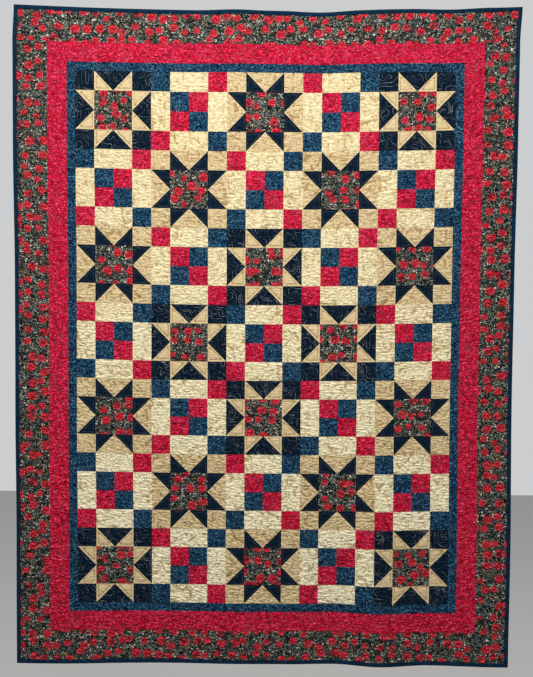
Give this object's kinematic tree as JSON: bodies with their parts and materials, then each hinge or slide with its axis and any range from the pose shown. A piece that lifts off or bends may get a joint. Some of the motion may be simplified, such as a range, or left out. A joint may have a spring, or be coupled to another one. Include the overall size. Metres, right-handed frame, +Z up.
{
  "type": "pieced star quilt blanket, hanging by its top edge",
  "caption": "Hanging patchwork quilt: sawtooth-star and chain blocks in navy, blue, crimson, tan and cream cotton, with blue, crimson and rose print borders and a navy binding.",
  "frame": {"origin": "the middle of the quilt's top edge, where it is held up", "axes": "+Z up along the hanging quilt, -Y out of its pieced face towards a viewer, +X to the viewer's right"},
  "size_m": [1.7006, 0.0347, 2.2313],
  "materials": {
    "pieced_cotton": "matte quilted cotton patchwork in cream, tan, navy, blue, crimson and a rose print",
    "blue_cotton": "matte mottled blue cotton",
    "crimson_cotton": "matte mottled crimson cotton",
    "rose_print_cotton": "matte dark cotton with a small print of red roses, leaves and pale flecks",
    "navy_cotton": "matte plain navy cotton"
  },
  "bodies": {
    "root": {"pieced_centre": "pieced_cotton", "inner_border_top": "blue_cotton", "inner_border_bottom": "blue_cotton", "inner_border_left": "blue_cotton", "inner_border_right": "blue_cotton", "middle_border_top": "crimson_cotton", "middle_border_bottom": "crimson_cotton", "middle_border_left": "crimson_cotton", "middle_border_right": "crimson_cotton", "outer_border_top": "rose_print_cotton", "outer_border_bottom": "rose_print_cotton", "outer_border_left": "rose_print_cotton", "outer_border_right": "rose_print_cotton", "binding_top": "navy_cotton", "binding_bottom": "navy_cotton", "binding_left": "navy_cotton", "binding_right": "navy_cotton"}
  },
  "joints": []
}
